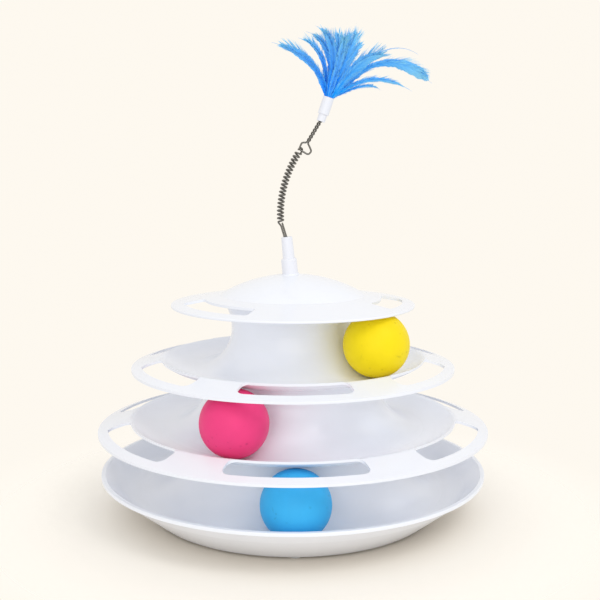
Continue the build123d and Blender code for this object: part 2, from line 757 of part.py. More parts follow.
# Feathers: each is a thin curved leaf in a half plane through the ferrule's
# axis, given by its reach out from the axis, its rise and its width
feather_sizes = (
    (57.8, 28.6, 8.5),
    (41.0, 14.1, 5.5),
    (60.0, 41.6, 4.0),
    (39.0, 39.6, 6.5),
    (22.0, 42.6, 6.0),
    (22.0, 39.1, 6.0),
    (29.0, 36.6, 7.0),
    (32.0, 26.6, 6.0),
    (44.4, 19.1, 7.5),
    (33.0, 31.6, 6.5),
    (34.0, 37.6, 7.0),
    (25.0, 41.6, 6.0),
    (30.0, 42.6, 6.0),
    (40.0, 34.6, 6.5),
    (50.5, 18.6, 6.5),
)
quill_r = quill_bore_diameter / 2 - bore_clearance - quill_width / 2
ferrule_mouth = ferrule_base + ferrule_axis * ferrule_end
for number, (reach, rise, width) in enumerate(feather_sizes):
    azimuth = radians(number * feather_pitch)
    out = ferrule_side * cos(azimuth) + y_way * sin(azimuth)
    leaf_plane = Plane(ferrule_mouth, x_dir=out, z_dir=out.cross(ferrule_axis))
    bow = arc_rise_radius(rise, reach - quill_r)
    half_bow = degrees(atan2(reach - quill_r, rise))
    bow_centre = (quill_r + bow, 0)
    quill_low = quill_end_gap - quill_bore_depth
    with BuildPart() as feather:
        with BuildSketch(leaf_plane):
            with BuildLine():
                ThreePointArc(
                    (quill_r - quill_width / 2, 0),
                    on_circle(bow_centre, bow + width * feather_back_share, 180 - half_bow),
                    (reach, rise),
                )
                ThreePointArc(
                    (reach, rise),
                    on_circle(bow_centre, bow - width * (1 - feather_back_share), 180 - half_bow),
                    (quill_r + quill_width / 2, 0),
                )
                Polyline(
                    (quill_r + quill_width / 2, 0),
                    (quill_r + quill_width / 2, quill_low),
                    (quill_r - quill_width / 2, quill_low),
                    (quill_r - quill_width / 2, 0),
                )
            make_face()
        extrude(amount=feather_thickness / 2, both=True)
    finish(feather, f"feather_{number + 1:02d}")
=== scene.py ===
import logging
from dataclasses import dataclass, field, replace
from enum import Enum
from math import cos, pi, radians, sin, tan, tau
from typing import Any

import bmesh
import bpy
import numpy as np
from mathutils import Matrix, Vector


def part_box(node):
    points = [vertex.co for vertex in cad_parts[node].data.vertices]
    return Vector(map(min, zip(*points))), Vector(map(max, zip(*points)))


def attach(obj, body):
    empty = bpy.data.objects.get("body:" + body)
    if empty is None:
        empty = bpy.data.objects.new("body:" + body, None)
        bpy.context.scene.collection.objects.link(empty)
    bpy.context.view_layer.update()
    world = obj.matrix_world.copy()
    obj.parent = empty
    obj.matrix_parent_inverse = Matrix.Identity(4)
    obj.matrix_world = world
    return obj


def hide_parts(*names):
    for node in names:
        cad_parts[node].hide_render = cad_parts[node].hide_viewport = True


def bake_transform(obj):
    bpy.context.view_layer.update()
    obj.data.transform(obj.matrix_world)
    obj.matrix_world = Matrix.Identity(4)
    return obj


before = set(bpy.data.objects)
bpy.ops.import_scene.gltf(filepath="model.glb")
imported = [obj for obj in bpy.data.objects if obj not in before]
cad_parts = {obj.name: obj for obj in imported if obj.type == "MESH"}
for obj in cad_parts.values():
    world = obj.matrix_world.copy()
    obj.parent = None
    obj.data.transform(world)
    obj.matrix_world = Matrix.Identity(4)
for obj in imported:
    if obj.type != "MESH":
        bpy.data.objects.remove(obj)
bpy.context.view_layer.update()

LOG = logging.getLogger("ball_tower")
MM = 0.001
WELD = 1e-6
SHARP_ANGLE = 75.0
MID_TONE = 0.5
Array = np.ndarray
Colour = tuple[float, float, float]

CREAM = (0.991, 0.945, 0.868)
Y_WAY = np.array((0.0, 1.0, 0.0))


def unit(vectors: Array) -> Array:
    """Vectors scaled to length one along their last axis."""
    return vectors / np.linalg.norm(vectors, axis=-1, keepdims=True)


def tilted(lean: float) -> tuple[Array, Array]:
    """Upright and sideways directions of an axis that leans in the front plane.

    Args:
        lean: Angle from the vertical towards +X, in degrees.

    Returns:
        The direction along the axis and the one across it, both in the front plane.
    """
    up = np.array((sin(radians(lean)), 0.0, cos(radians(lean))))
    return up, np.array((up[2], 0.0, -up[0]))


def smooth_step(share: Array) -> Array:
    """Zero to one with level ends: 3 s^2 - 2 s^3 of the clipped share."""
    clipped = np.clip(share, 0, 1)
    return clipped * clipped * (3 - 2 * clipped)


class Value:
    """A shader socket in an expression, whose operators add Math nodes."""

    def __init__(self, sheet: "NodeSheet", socket: bpy.types.NodeSocket) -> None:
        """Keep the socket and the sheet that it is on."""
        self.sheet = sheet
        self.socket = socket

    def _math(self, operation: str, left: Any, right: Any) -> "Value":
        """Add one Math node on two values."""
        return self.sheet.node("ShaderNodeMath", {"operation": operation}, {0: left, 1: right})

    def __add__(self, other: Any) -> "Value":
        """This value plus another."""
        return self._math("ADD", self, other)

    __radd__ = __add__

    def __sub__(self, other: Any) -> "Value":
        """This value less another."""
        return self._math("SUBTRACT", self, other)

    def __rsub__(self, other: Any) -> "Value":
        """Another value less this one."""
        return self._math("SUBTRACT", other, self)

    def __mul__(self, other: Any) -> "Value":
        """This value times another."""
        return self._math("MULTIPLY", self, other)

    def __pow__(self, other: Any) -> "Value":
        """This value to a power."""
        return self._math("POWER", self, other)

    def least(self, other: Any) -> "Value":
        """The smaller of this value and another."""
        return self._math("MINIMUM", self, other)


class NodeSheet:
    """A node tree that is written as expressions."""

    def __init__(self, tree: bpy.types.NodeTree) -> None:
        """Start on an empty tree."""
        self.tree = tree
        tree.nodes.clear()

    def node(
        self,
        kind: str,
        settings: dict[str, Any] | None = None,
        inputs: dict[int | str, Any] | None = None,
        output: int | str = 0,
    ) -> Value:
        """Add a node.

        Args:
            kind: The node's type.
            settings: Properties, set before the sockets.
            inputs: Values or links of its input sockets.
            output: Which output to return.

        Returns:
            The chosen output as a value.
        """
        made = self.tree.nodes.new(kind)
        for name, setting in (settings or {}).items():
            setattr(made, name, setting)
        for name, given in (inputs or {}).items():
            if isinstance(given, Value):
                self.tree.links.new(given.socket, made.inputs[name])
            else:
                made.inputs[name].default_value = given
        return Value(self, made.outputs[output] if made.outputs else None)

    def mix(self, factor: Any, first: Any, second: Any) -> Value:
        """Mix two colours by a factor."""
        return self.node("ShaderNodeMix", {"data_type": "RGBA"}, {0: factor, 6: first, 7: second}, 2)

    def shades(self, factor: Value, colour: Colour, levels: tuple[float, float]) -> Value:
        """A colour that goes from one level to another with a factor."""
        return self.mix(factor, rgba(colour, levels[0]), rgba(colour, levels[1]))

    def object_place(self) -> Value:
        """Object coordinates, in metres."""
        return self.node("ShaderNodeTexCoord", output="Object")

    def noise(self, place: Value, grain: float, detail: float = 2.0) -> Value:
        """Noise from nought to one whose lumps are about a grain across, in metres."""
        return self.node(
            "ShaderNodeTexNoise", inputs={"Vector": place, "Scale": 1 / grain, "Detail": detail}
        )

    def attribute(self, name: str) -> Value:
        """A value that the mesh carries on its points."""
        return self.node("ShaderNodeAttribute", {"attribute_name": name}, output="Fac")

    def bump(self, height: Value, depth: float, strength: float = 1.0) -> Value:
        """Normal that follows a height of up to a depth, in metres."""
        return self.node(
            "ShaderNodeBump", inputs={"Height": height, "Distance": depth, "Strength": strength}
        )

    def surface(self, **sockets: Any) -> Value:
        """Principled surface; underscores in a socket's name stand for spaces."""
        inputs = {name.replace("_", " "): given for name, given in sockets.items()}
        return self.node("ShaderNodeBsdfPrincipled", inputs=inputs)

    def output(self, shader: Value, kind: str = "ShaderNodeOutputMaterial") -> None:
        """End the sheet with a shader."""
        self.node(kind, inputs={"Surface": shader})


def rgba(colour: Colour, level: float = 1.0) -> tuple[float, float, float, float]:
    """A colour at a level, as the sockets take it."""
    return (colour[0] * level, colour[1] * level, colour[2] * level, 1.0)


@dataclass(frozen=True)
class Finish:
    """A named material, whose kinds each write their own shader."""

    name: str

    def shader(self, sheet: NodeSheet) -> Value:
        """Write the finish on an empty sheet."""
        raise NotImplementedError

    def material(self) -> bpy.types.Material:
        """Build the finish."""
        material = bpy.data.materials.new(self.name)
        material.use_nodes = True
        sheet = NodeSheet(material.node_tree)
        sheet.output(self.shader(sheet))
        return material


@dataclass(frozen=True)
class MouldedPlastic(Finish):
    """Glossy white moulding with a faint orange peel and handled, uneven gloss."""

    colour: Colour = (0.905, 0.925, 0.98)
    levels: tuple[float, float] = (0.98, 1.01)
    refraction: float = 1.49
    gloss: float = 0.24
    gloss_spread: float = 0.1
    cloud: float = 45 * MM
    peel: float = 1.4 * MM
    peel_depth: float = 0.012 * MM

    def shader(self, sheet: NodeSheet) -> Value:
        """A colour that clouds by a few percent and a roughness that drifts with it."""
        place = sheet.object_place()
        drift = sheet.noise(place, self.cloud, detail=3.0)
        tone = sheet.shades(drift, self.colour, self.levels)
        rough = self.gloss + (drift - MID_TONE) * self.gloss_spread
        peel = sheet.bump(sheet.noise(place, self.peel), self.peel_depth)
        return sheet.surface(Base_Color=tone, Roughness=rough, IOR=self.refraction, Normal=peel)


class Tint(Enum):
    """Colours of the foam balls, in linear light."""

    BLUE = (0.05, 0.46, 0.88)
    PINK = (0.88, 0.06, 0.23)
    YELLOW = (0.97, 0.76, 0.01)


@dataclass(frozen=True)
class FoamRubber(Finish):
    """Matte foam whose skin is grained and mottled, with painted shade darkening its pits."""

    tint: Tint
    mottle: float = 9 * MM
    levels: tuple[float, float] = (0.93, 1.05)
    pit_painted_shade_level: float = 0.72
    grain: float = 0.7 * MM
    grain_depth: float = 0.05 * MM
    grain_strength: float = 0.6
    matte: float = 0.47
    matte_spread: float = 0.2
    shine: float = 0.14

    def shader(self, sheet: NodeSheet) -> Value:
        """A mottled colour with painted shade that darkens it where the mesh's pit value is high."""
        place = sheet.object_place()
        mottle = sheet.noise(place, self.mottle, detail=4.0)
        grain = sheet.noise(place, self.grain, detail=3.0)
        tone = sheet.shades(mottle, self.tint.value, self.levels)
        pit = sheet.attribute("pit").least(1.0)
        # Painted shade: the colour darkens in the pits, down to the pit level.
        pit_shaded_tone = sheet.mix(pit, tone, rgba(self.tint.value, self.pit_painted_shade_level))
        rough = self.matte + (mottle - MID_TONE) * self.matte_spread
        skin = sheet.bump(grain, self.grain_depth, self.grain_strength)
        return sheet.surface(
            Base_Color=pit_shaded_tone, Roughness=rough, Specular_IOR_Level=self.shine, Normal=skin
        )


@dataclass(frozen=True)
class DrawnSteel(Finish):
    """Dull spring steel with fine draw lines along the wire."""

    name: str = "drawn_steel"
    colour: Colour = (0.17, 0.165, 0.155)
    levels: tuple[float, float] = (0.7, 1.25)
    dull: float = 0.3
    dull_spread: float = 0.09
    streaks_along: float = 0.4
    streaks_around: float = 6.0
    streak_depth: float = 0.02 * MM
    streak_strength: float = 0.5

    def shader(self, sheet: NodeSheet) -> Value:
        """Streaks that run with the mesh's along value and vary with its around value."""
        along = sheet.attribute("along") * self.streaks_along
        around = sheet.attribute("around") * self.streaks_around
        run = sheet.node("ShaderNodeCombineXYZ", inputs={"X": along, "Y": around})
        streaks = sheet.noise(run, 1.0, detail=3.0)
        tone = sheet.shades(streaks, self.colour, self.levels)
        rough = self.dull + (streaks - MID_TONE) * self.dull_spread
        lines = sheet.bump(streaks, self.streak_depth, self.streak_strength)
        return sheet.surface(Base_Color=tone, Metallic=1.0, Roughness=rough, Normal=lines)


@dataclass(frozen=True)
class DyedFeather(Finish):
    """Dyed down: deep at the root, paler and thinner towards the barbs' ends."""

    name: str = "dyed_feather"
    deep: Colour = (0.0, 0.32, 1.0)
    pale: Colour = (0.30, 0.74, 1.0)
    root_fade: float = 0.75
    tip_fade: float = 0.4
    tone_fade: float = 0.6
    tip_cover: float = 0.3
    matte: float = 0.62
    shine: float = 0.06

    def shader(self, sheet: NodeSheet) -> Value:
        """A colour and a cover led by the mesh's root, tip and tone values."""
        tip = sheet.attribute("tip")
        tone = (sheet.attribute("tone") - MID_TONE) * self.tone_fade
        fade = sheet.attribute("root") * self.root_fade + tip * self.tip_fade + tone
        colour = sheet.mix(fade.least(1.0), rgba(self.deep), rgba(self.pale))
        cover = 1.0 - (tip**3) * (1.0 - self.tip_cover)
        return sheet.surface(
            Base_Color=colour, Roughness=self.matte, Alpha=cover, Specular_IOR_Level=self.shine
        )


@dataclass(frozen=True)
class PadRubber(Finish):
    """Matte pale rubber with a fine grain."""

    name: str = "grained_rubber"
    colour: Colour = (0.55, 0.55, 0.54)
    levels: tuple[float, float] = (0.9, 1.1)
    grain: float = 0.5 * MM
    grain_depth: float = 0.03 * MM
    matte: float = 0.75

    def shader(self, sheet: NodeSheet) -> Value:
        """A colour and a skin that share one grain."""
        grain = sheet.noise(sheet.object_place(), self.grain, detail=3.0)
        tone = sheet.shades(grain, self.colour, self.levels)
        skin = sheet.bump(grain, self.grain_depth)
        return sheet.surface(Base_Color=tone, Roughness=self.matte, Normal=skin)


@dataclass(frozen=True)
class PaleFloor(Finish):
    """Matte floor with a painted shadow under the tower, that fades into the background away from it.

    The two reaches are the distances from the tower's axis where the painted shadow and the floor end.
    """

    name: str = "pale_floor"
    colour: Colour = (0.96, 0.915, 0.84)
    # Painted shadow: the floor's colour under the tower, darker and browner than the plain floor.
    painted_shadow_colour: Colour = (0.79, 0.73, 0.64)
    lift: float = 0.26
    matte: float = 0.9
    shine: float = 0.1
    painted_shadow_reach: tuple[float, float] = (0.09, 0.135)
    fade_reach: tuple[float, float] = (0.10, 0.24)

    def shader(self, sheet: NodeSheet) -> Value:
        """A lit surface with a painted shadow near the tower's axis, that gives way to a clear one."""
        reach = sheet.node(
            "ShaderNodeVectorMath", {"operation": "LENGTH"}, {0: sheet.object_place()}, "Value"
        )
        shade, fade = (
            sheet.node(
                "ShaderNodeMapRange",
                {"interpolation_type": "SMOOTHSTEP"},
                {"Value": reach, "From Min": start, "From Max": end},
            )
            for start, end in (self.painted_shadow_reach, self.fade_reach)
        )
        # The base colour is a painted shadow near the axis and turns to the plain floor colour further
        # out.
        matte = sheet.surface(
            Base_Color=sheet.mix(shade, rgba(self.painted_shadow_colour), rgba(self.colour)),
            Roughness=self.matte,
            Specular_IOR_Level=self.shine,
            Emission_Color=sheet.mix(fade, rgba(CREAM, 0.0), rgba(CREAM)),
            Emission_Strength=self.lift,
        )
        clear = sheet.node("ShaderNodeBsdfTransparent")
        return sheet.node("ShaderNodeMixShader", inputs={0: fade, 1: matte, 2: clear})


@dataclass
class Patch:
    """Grids of points, each rows by columns, whose columns may close on themselves.

    The points have the shape (grids, rows, columns, 3), and each named value one that spreads
    over the first three.
    """

    points: Array
    close_columns: bool = False
    values: dict[str, Array | float] = field(default_factory=dict)

    def quads(self) -> Array:
        """Number the cells.

        Returns:
            Corner numbers of every grid's cells, four to a row.
        """
        grids, rows, columns = self.points.shape[:3]
        g = np.arange(grids)[:, None, None] * rows * columns
        i = np.arange(rows - 1)[None, :, None]
        j = np.arange(columns if self.close_columns else columns - 1)[None, None, :]
        below, beside = i + 1, (j + 1) % columns
        corners = (
            g + i * columns + j,
            g + i * columns + beside,
            g + below * columns + beside,
            g + below * columns + j,
        )
        return np.stack(np.broadcast_arrays(*corners), axis=-1).reshape(-1, 4)


def mesh_of(name: str, patches: list[Patch]) -> bpy.types.Object:
    """Join patches into one welded, smooth mesh whose faces point outwards.

    Args:
        name: The object's name.
        patches: Its surfaces; all carry the same named values.

    Returns:
        The object, at the origin.
    """
    starts = np.cumsum([0] + [p.points.size // 3 for p in patches])
    points = np.concatenate([p.points.reshape(-1, 3) for p in patches])
    quads = np.concatenate([p.quads() + start for p, start in zip(patches, starts)])
    mesh = bpy.data.meshes.new(name)
    mesh.vertices.add(len(points))
    mesh.vertices.foreach_set("co", points.astype(np.float32).ravel())
    mesh.loops.add(quads.size)
    mesh.loops.foreach_set("vertex_index", quads.astype(np.int32).ravel())
    mesh.polygons.add(len(quads))
    mesh.polygons.foreach_set("loop_start", np.arange(0, quads.size, 4, dtype=np.int32))
    mesh.update(calc_edges=True)
    for key in patches[0].values:
        made = mesh.attributes.new(key, "FLOAT", "POINT")
        spread = [np.broadcast_to(p.values[key], p.points.shape[:3]).ravel() for p in patches]
        made.data.foreach_set("value", np.concatenate(spread).astype(np.float32))
    sheet = bmesh.new()
    sheet.from_mesh(mesh)
    bmesh.ops.remove_doubles(sheet, verts=sheet.verts, dist=WELD)
    bmesh.ops.recalc_face_normals(sheet, faces=sheet.faces)
    sheet.to_mesh(mesh)
    sheet.free()
    mesh.polygons.foreach_set("use_smooth", np.ones(len(mesh.polygons), bool))
    mesh.set_sharp_from_angle(angle=radians(SHARP_ANGLE))
    made = bpy.data.objects.new(name, mesh)
    bpy.context.scene.collection.objects.link(made)
    return made


def dress(piece: bpy.types.Object, material: bpy.types.Material) -> None:
    """Give a piece one material in place of those it has."""
    piece.data.materials.clear()
    piece.data.materials.append(material)


def stand_in(piece: bpy.types.Object, body: str | None, slot: str, *nodes: str) -> None:
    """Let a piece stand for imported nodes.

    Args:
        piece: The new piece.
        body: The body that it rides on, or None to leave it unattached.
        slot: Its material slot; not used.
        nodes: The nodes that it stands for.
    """
    if body:
        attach(piece, body)
    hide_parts(*nodes)
    LOG.info("%s stands for %s", piece.name, ", ".join(nodes))


def tube(path: Array, across: Array, radius: Array, sides: int) -> Array:
    """Round tube along a path, closed at both ends.

    Each ring is centre + radius (cos a, sin a) in the plane square to the path, where angle
    nought lies towards the given sideways direction.

    Args:
        path: Points, one to a row.
        across: A sideways direction at each point, never along the path.
        radius: The tube's radius at each point.
        sides: Points to a ring.

    Returns:
        A grid of one tube, rows along the path and columns round it.
    """
    along = unit(np.gradient(path, axis=0))
    first = unit(across - (across * along).sum(-1, keepdims=True) * along)
    second = np.cross(along, first)
    angle = np.linspace(0, tau, sides, endpoint=False)[None, :, None]
    ring = first[:, None] * np.cos(angle) + second[:, None] * np.sin(angle)
    body = path[:, None] + ring * radius[:, None, None]
    ends = [np.broadcast_to(path[k], (1, sides, 3)) for k in (0, -1)]
    return np.concatenate([ends[0], body, ends[1]])[None]


def line(start: Array, end: Array, count: int) -> Array:
    """Evenly spaced points from one place to another."""
    return start + (end - start) * np.linspace(0, 1, count)[:, None]


def arc(centre: Array, first: Array, second: Array, radius: float, turn: Array) -> Array:
    """Points of a circle: centre + radius (first cos a + second sin a)."""
    return centre + radius * (first * np.cos(turn)[:, None] + second * np.sin(turn)[:, None])


def hermite(start: Array, start_way: Array, end: Array, end_way: Array, count: int) -> Array:
    """Cubic from one point and direction to another, pulled by the distance between them.

    Args:
        start: First point.
        start_way: Direction there.
        end: Last point.
        end_way: Direction there.
        count: Points along it.

    Returns:
        The points, ends included.
    """
    t = np.linspace(0, 1, count)[:, None]
    pull = np.linalg.norm(end - start)
    return (
        (2 * t**3 - 3 * t**2 + 1) * start
        + (t**3 - 2 * t**2 + t) * pull * unit(start_way)
        + (3 * t**2 - 2 * t**3) * end
        + (t**3 - t**2) * pull * unit(end_way)
    )


def joined(stretches: list[Array]) -> Array:
    """Stretches end to end, without the points that they share."""
    return np.concatenate([stretches[0]] + [s[1:] for s in stretches[1:]])


def wire_patch(path: Array, across: Array, gauge: float, sides: int, blunt: float = 0.08) -> Patch:
    """A wire with rounded ends, which carries how far along and around each point is.

    The radius near an end is that of a half ball: sqrt(1 - (1 - d / r)^2) r at a distance d.

    Args:
        path: The wire's centre line.
        across: A sideways direction at each of its points.
        gauge: The wire's diameter.
        sides: Points to a ring.
        blunt: Distance of the end rings from the ends, as a share of the radius.

    Returns:
        One closed tube.
    """
    steps = np.linalg.norm(np.diff(path, axis=0), axis=1)
    run = np.concatenate([[0], np.cumsum(steps)])
    near_end = np.minimum(run, run[-1] - run)
    half = gauge / 2
    radius = half * np.sqrt(1 - (1 - np.clip(near_end / half, blunt, 1)) ** 2)
    grid = tube(path, across, radius, sides)
    along = np.concatenate([run[:1], run, run[-1:]]) / gauge
    around = np.abs(np.linspace(-1, 1, sides, endpoint=False))
    return Patch(grid, close_columns=True, values={"along": along[:, None], "around": around})


@dataclass(frozen=True)
class Wand:
    """The wand's line: where it is seated, how it leans, and its wires' sizes."""

    seat: Array = field(default_factory=lambda: np.array((-1.7, 0.0, 153.2473)) * MM)
    lean: float = -5.5
    stem_length: float = 23.5 * MM
    gauge: float = 1.15 * MM
    strand_spacing: float = 1.25 * MM
    tail_offset: float = -0.8 * MM
    tail_lean: float = -17.0
    tail_depth: float = 5.45 * MM
    tail_length: float = 9.3 * MM
    tail_gap: float = 1.0 * MM
    coil_radius: float = 1.8 * MM
    coil_turns: float = 19.5
    coil_phase: float = -135.0
    coil_bend: float = 71.0 * MM
    coil_start_lean: float = -3.5
    coil_end_lean: float = 33.4
    coil_rise: float = 2.2 * MM
    eye_radius: float = 1.9 * MM
    eye_rise: float = 1.0 * MM
    eye_sweep: float = 190.0
    eye_turn: float = 40.0
    hook_gap: float = 0.15 * MM
    tail_points: tuple[int, int, int] = (70, 20, 50)
    turn_points: int = 44
    lead_points: int = 24
    eye_points: int = 60
    sides: int = 14

    @property
    def tail_exit(self) -> Array:
        """Where the doubled tail leaves the sleeve."""
        up, side = tilted(self.lean)
        return self.seat + up * self.stem_length + side * self.tail_offset

    @property
    def coil_start(self) -> Array:
        """Middle of the coil's first turn."""
        return self.tail_exit + tilted(self.tail_lean)[0] * (self.tail_length + self.tail_gap)

    @property
    def bend_centre(self) -> Array:
        """Middle of the circle that the coil's line follows."""
        return self.coil_start + tilted(self.coil_start_lean)[1] * self.coil_bend

    @property
    def coil_end(self) -> Array:
        """Middle of the coil's last turn."""
        return self.bend_centre - tilted(self.coil_end_lean)[1] * self.coil_bend

    @property
    def eye_centre(self) -> Array:
        """Middle of the eye at the coil's end."""
        return self.coil_end + tilted(self.coil_end_lean)[0] * self.eye_rise

    def coil(self, count: int) -> tuple[Array, Array]:
        """The wound stretch: a helix about an arc.

        Args:
            count: Points along it.

        Returns:
            The points and the spoke from the coil's middle to each.
        """
        share = np.linspace(0, 1, count)
        lean = np.radians(self.coil_start_lean + (self.coil_end_lean - self.coil_start_lean) * share)
        phase = radians(self.coil_phase) + tau * self.coil_turns * share
        out = np.stack([np.cos(lean), 0 * lean, -np.sin(lean)], axis=1)
        spoke = out * np.cos(phase)[:, None] + Y_WAY * np.sin(phase)[:, None]
        return self.bend_centre - out * self.coil_bend + spoke * self.coil_radius, spoke

    def spring(self) -> bpy.types.Object:
        """The spring wire: folded tail, coil and eye, one unbroken tube.

        Returns:
            The piece.
        """
        up, side = tilted(self.tail_lean)
        half = self.strand_spacing / 2
        low = self.tail_exit - up * self.tail_depth
        down_top = self.tail_exit + side * half + up * self.tail_length
        down_points, fold_points, up_points = self.tail_points
        down_leg = line(down_top, low + side * half, down_points)
        fold = arc(low, side, -up, half, np.linspace(0, pi, fold_points))
        up_top = self.tail_exit - side * half + up * (self.tail_length - self.coil_rise)
        up_leg = line(low - side * half, up_top, up_points)
        coil, spokes = self.coil(int(self.coil_turns * self.turn_points))
        lead_in = hermite(up_top, up, coil[0], coil[1] - coil[0], self.lead_points)
        end_up, end_out = tilted(self.coil_end_lean)
        turn = np.linspace(0, radians(self.eye_sweep), self.eye_points)
        eye_way = Y_WAY * cos(radians(self.eye_turn)) + end_out * sin(radians(self.eye_turn))
        eye = arc(self.eye_centre, eye_way, end_up, self.eye_radius, turn)
        eye_face = np.cross(eye_way, end_up)
        lead_out = hermite(coil[-1], coil[-1] - coil[-2], eye[0], end_up, self.lead_points)
        path = joined([down_leg, fold, up_leg, lead_in, coil, lead_out, eye])
        tail_count = len(down_leg) + len(fold) + len(up_leg) - 2
        ease = smooth_step(np.linspace(0, 1, self.lead_points))[1:, None]
        across = np.concatenate([
            np.tile(-Y_WAY, (tail_count, 1)),
            -Y_WAY * (1 - ease) + spokes[0] * ease,
            spokes[1:],
            spokes[-1] * (1 - ease) + eye_face * ease,
            np.tile(eye_face, (len(eye) - 1, 1)),
        ])
        return mesh_of("coil_spring", [wire_patch(path, across, self.gauge, self.sides)])


@dataclass(frozen=True)
class Hanger:
    """The doubled wire that hooks the spring's eye and carries the feathers."""

    wand: Wand
    lean: float = 31.2
    loop_width: float = 8.0 * MM
    loop_height: float = 5.9 * MM
    loop_shift: float = 1.4 * MM
    loop_skew: float = 1.0 * MM
    base_share: float = 0.85
    right_shoulder: float = 0.5
    left_shoulder: float = 0.75
    loop_corner: float = 1.6 * MM
    loop_neck: float = 1.3 * MM
    twist_radius: float = 0.76 * MM
    twist_pitch: float = 4.6 * MM
    twist_turns: float = 4.0
    strand_points: int = 130
    lead_points: int = 20
    corner_points: int = 16
    run_points: int = 8
    sides: int = 12

    @property
    def hook(self) -> Array:
        """Where the loop's bar crosses the eye."""
        wand = self.wand
        return wand.eye_centre + tilted(self.lean)[0] * (wand.eye_radius - wand.gauge - wand.hook_gap)

    @property
    def twist_start(self) -> Array:
        """Where the twisted pair begins, above the loop."""
        up, out = tilted(self.lean)
        return self.hook + out * self.loop_shift + up * self.loop_height

    def strand(self, side: int) -> tuple[Array, Array]:
        """One strand of the pair, upwards: a helix about the hanger's line.

        Args:
            side: Which strand, 1 or -1.

        Returns:
            The points and the spoke to each.
        """
        up, out = tilted(self.lean)
        turn = np.linspace(0, self.twist_turns, self.strand_points)
        phase = tau * turn[:, None]
        spoke = (out * np.cos(phase) + Y_WAY * np.sin(phase)) * side
        rise = up * self.twist_pitch * turn[:, None]
        return self.twist_start + rise + spoke * self.twist_radius, spoke

    def corner(self, before: Array, at: Array, after: Array) -> Array:
        """Rounded corner between two straight runs in the front plane.

        Args:
            before: A point on the run that comes in.
            at: The sharp corner.
            after: A point on the run that goes out.

        Returns:
            Points of an arc that touches both runs.
        """
        back, ahead = unit(before - at), unit(after - at)
        half_turn = np.arccos(np.dot(back, ahead)) / 2
        centre = at + unit(back + ahead) * self.loop_corner / sin(half_turn)
        start = unit(at + back * self.loop_corner / tan(half_turn) - centre)
        sweep = np.linspace(0, pi - 2 * half_turn, self.corner_points)
        return arc(centre, start, -back, self.loop_corner, sweep)

    def rounded(self, corners: list[Array]) -> Array:
        """Straight runs between corners, the inner ones rounded.

        Args:
            corners: The sharp corners, in order.

        Returns:
            Points from the first corner to the last.
        """
        rounds = [self.corner(*corners[k - 1 : k + 2]) for k in range(1, len(corners) - 1)]
        starts = [corners[0]] + [r[-1] for r in rounds]
        ends = [r[0] for r in rounds] + [corners[-1]]
        runs = [line(start, end, self.run_points) for start, end in zip(starts, ends)]
        return joined([runs[0]] + [s for pair in zip(rounds, runs[1:]) for s in pair])

    def wire(self) -> bpy.types.Object:
        """The hanger wire: down one strand, round the loop and up the other.

        Returns:
            The piece.
        """
        up, out = tilted(self.lean)
        right, right_spokes = self.strand(1)
        left, left_spokes = self.strand(-1)
        middle = self.hook + out * (self.loop_shift + self.loop_skew)
        half = out * self.loop_width / 2
        shoulders = [
            middle + half + up * self.loop_height * self.right_shoulder,
            middle - half + up * self.loop_height * self.left_shoulder,
        ]
        legs = [unit(shoulders[0] - right[0]), unit(shoulders[1] - left[0])]
        starts = [right[0] + legs[0] * self.loop_neck, left[0] + legs[1] * self.loop_neck]
        bar = [middle + half * self.base_share, middle - half * self.base_share]
        loop = joined([
            hermite(right[0], right[0] - right[1], starts[0], legs[0], self.lead_points),
            self.rounded([starts[0], shoulders[0], *bar, shoulders[1], starts[1]]),
            hermite(starts[1], -legs[1], left[0], left[1] - left[0], self.lead_points),
        ])
        path = joined([right[::-1], loop, left])
        ease = smooth_step(np.linspace(0, 1, self.lead_points))[1:, None]
        across = np.concatenate([
            right_spokes[::-1],
            right_spokes[0] * (1 - ease) + Y_WAY * ease,
            np.tile(Y_WAY, (len(loop) - 2 * len(ease) - 1, 1)),
            Y_WAY * (1 - ease) + left_spokes[0] * ease,
            left_spokes[1:],
        ])
        return mesh_of("twisted_hanger", [wire_patch(path, across, self.wand.gauge, self.sides)])


